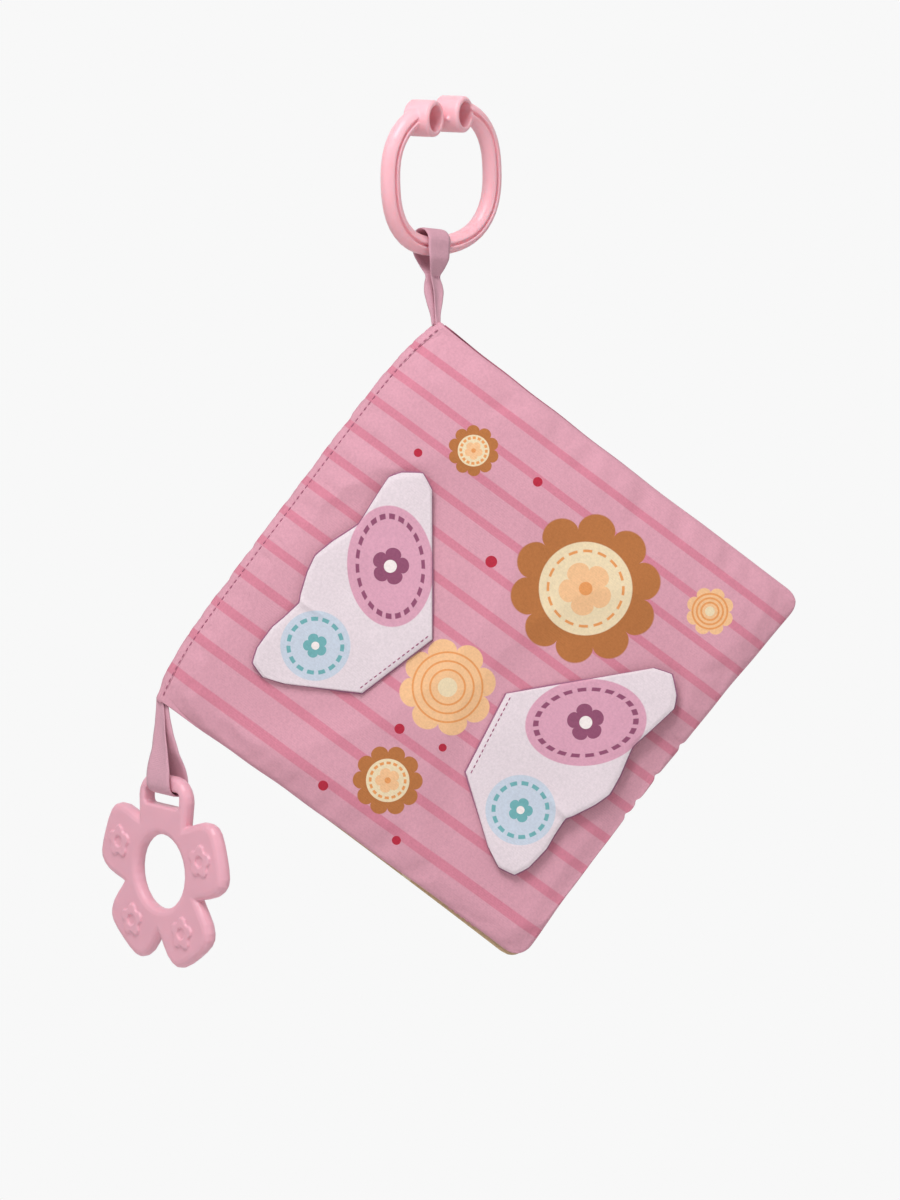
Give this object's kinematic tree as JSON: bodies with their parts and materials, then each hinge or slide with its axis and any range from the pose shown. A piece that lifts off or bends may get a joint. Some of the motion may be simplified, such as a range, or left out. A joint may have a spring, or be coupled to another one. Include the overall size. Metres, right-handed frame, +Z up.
{
  "type": "crinkle cloth book",
  "caption": "Soft crinkle cloth book for a baby, hung by one corner from a plastic ring, with sewn wing flaps on its front cover and a flower teether on a tape.",
  "frame": {"origin": "hang point inside the ring, between the undersides of its two bosses", "axes": "+Z up as it hangs, -Y out of the front cover, +X to the right of someone facing the front cover"},
  "size_m": [0.2616, 0.0559, 0.3253],
  "materials": {
    "ring": "satin",
    "tape": "matt",
    "pink_cloth": "matt",
    "mauve_cloth": "matt",
    "wing_cloth": "matt",
    "page_cloth": "matt",
    "wadding": "soft",
    "film": "clear",
    "teether": "satin"
  },
  "bodies": {
    "ring": {"hanging_ring": "ring"},
    "hanging_tape": {"hanging_tape": "tape"},
    "spine": {"spine_fold": "pink_cloth", "sewn_leaf_edges": "page_cloth"},
    "leaf_1": {"leaf_1_front_cloth": "page_cloth", "leaf_1_film": "film", "leaf_1_back_cloth": "page_cloth"},
    "front_cover": {"front_cover_lining": "page_cloth", "front_cover_film": "film", "front_cover_wadding": "wadding", "front_cover_cloth": "pink_cloth"},
    "leaf_2": {"leaf_2_front_cloth": "page_cloth", "leaf_2_film": "film", "leaf_2_back_cloth": "page_cloth"},
    "back_cover": {"back_cover_lining": "page_cloth", "back_cover_film": "film", "back_cover_wadding": "wadding", "back_cover_cloth": "pink_cloth"},
    "left_wing": {"left_wing_front_cloth": "wing_cloth", "left_wing_film": "film", "left_wing_back_cloth": "mauve_cloth"},
    "right_wing": {"right_wing_front_cloth": "wing_cloth", "right_wing_film": "film", "right_wing_back_cloth": "mauve_cloth"},
    "teether_tape": {"teether_tape": "tape"},
    "teether": {"teether": "teether"}
  },
  "joints": [
    {"name": "tape_round_ring", "type": "hinge", "parent": "ring", "child": "hanging_tape", "pos_m": [0.00051, 0.00426, -0.01536], "axis": [-0.666, 0.7242, 0.1788], "range_deg": [-90, 90]},
    {"name": "book_on_tape", "type": "hinge", "parent": "hanging_tape", "child": "spine", "pos_m": [-0.0014, 0.00759, -0.06875], "axis": [1, 0, 0], "range_deg": [-50, 50]},
    {"name": "leaf_1_turn", "type": "hinge", "parent": "spine", "child": "leaf_1", "pos_m": [-0.05494, 0.00494, -0.13817], "axis": [-0.6004, 0, -0.7997], "range_deg": [0, 165]},
    {"name": "front_cover_turn", "type": "hinge", "parent": "leaf_1", "child": "front_cover", "pos_m": [-0.05494, 0.00494, -0.13817], "axis": [0.6004, 0, 0.7997], "range_deg": [-165, 0]},
    {"name": "leaf_2_turn", "type": "hinge", "parent": "spine", "child": "leaf_2", "pos_m": [-0.05494, 0.01024, -0.13817], "axis": [-0.6004, 0, -0.7997], "range_deg": [-125, 0]},
    {"name": "back_cover_turn", "type": "hinge", "parent": "leaf_2", "child": "back_cover", "pos_m": [-0.05494, 0.01024, -0.13817], "axis": [0.6004, 0, 0.7997], "range_deg": [0, 125]},
    {"name": "left_wing_lift", "type": "hinge", "parent": "front_cover", "child": "left_wing", "pos_m": [-0.01605, -0.00049, -0.19738], "axis": [0.7944, 0, 0.6074], "range_deg": [0, 150]},
    {"name": "right_wing_lift", "type": "hinge", "parent": "front_cover", "child": "right_wing", "pos_m": [0.0169, -0.00044, -0.22212], "axis": [0.4602, 0, 0.8878], "range_deg": [-150, 0]},
    {"name": "teether_tape_swing", "type": "hinge", "parent": "spine", "child": "teether_tape", "pos_m": [-0.1042, 0.00759, -0.21185], "axis": [0.7997, 0, -0.6004], "range_deg": [-60, 60]},
    {"name": "teether_swing", "type": "hinge", "parent": "teether_tape", "child": "teether", "pos_m": [-0.10204, 0.00759, -0.24077], "axis": [0.6841, -0.7219, -0.1044], "range_deg": [-60, 60]}
  ]
}
